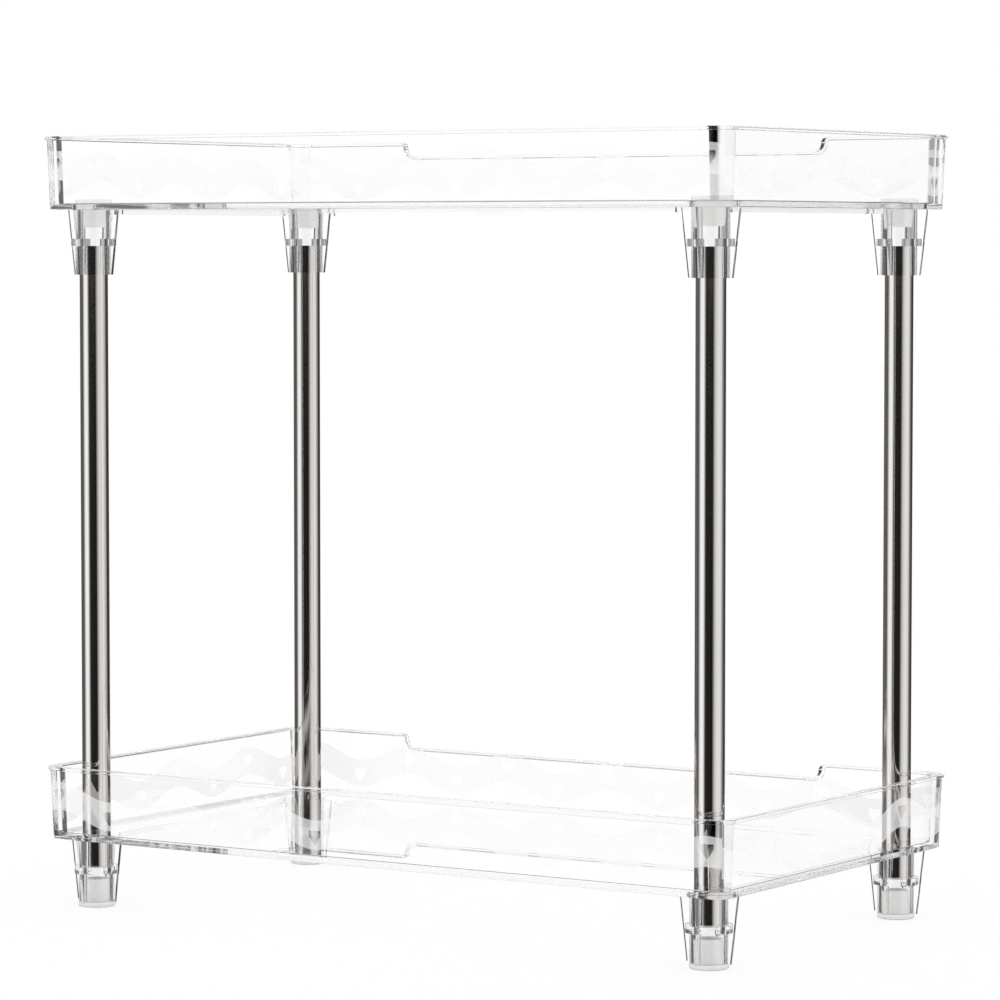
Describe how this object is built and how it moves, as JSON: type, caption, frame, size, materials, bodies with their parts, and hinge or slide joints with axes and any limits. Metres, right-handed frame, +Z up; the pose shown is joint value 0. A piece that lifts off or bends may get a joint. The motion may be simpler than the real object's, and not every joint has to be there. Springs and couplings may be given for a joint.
{
  "type": "vanity organizer",
  "caption": "Tiered vanity organizer: clear rimmed trays stacked on polished tube legs that push into finned corner sockets, standing on soft plug feet.",
  "frame": {"origin": "centre of the footprint, on the surface that the feet stand on", "axes": "+X along the long side, +Y towards the long wall with the lowered rim, +Z up"},
  "size_m": [0.2778, 0.1562, 0.2704],
  "materials": {
    "clear_tray": "clear, polished, with a frosted wave band on the walls",
    "steel_tube": "mirror-polished stainless steel",
    "soft_plug": "translucent white silicone"
  },
  "bodies": {
    "lower_tier": {"lower_tray": "clear_tray", "foot_front_left": "soft_plug", "foot_front_right": "soft_plug", "foot_back_left": "soft_plug", "foot_back_right": "soft_plug"},
    "legs": {"tube_front_left": "steel_tube", "tube_front_right": "steel_tube", "tube_back_left": "steel_tube", "tube_back_right": "steel_tube"},
    "upper_tier": {"upper_tray": "clear_tray", "cap_front_left": "soft_plug", "cap_front_right": "soft_plug", "cap_back_left": "soft_plug", "cap_back_right": "soft_plug"}
  },
  "joints": [
    {"name": "legs_lift", "type": "slide", "parent": "lower_tier", "child": "legs", "axis": [0, 0, 1], "range_m": [0, 0.04]},
    {"name": "upper_tray_lift", "type": "slide", "parent": "legs", "child": "upper_tier", "axis": [0, 0, 1], "range_m": [0, 0.03]}
  ]
}
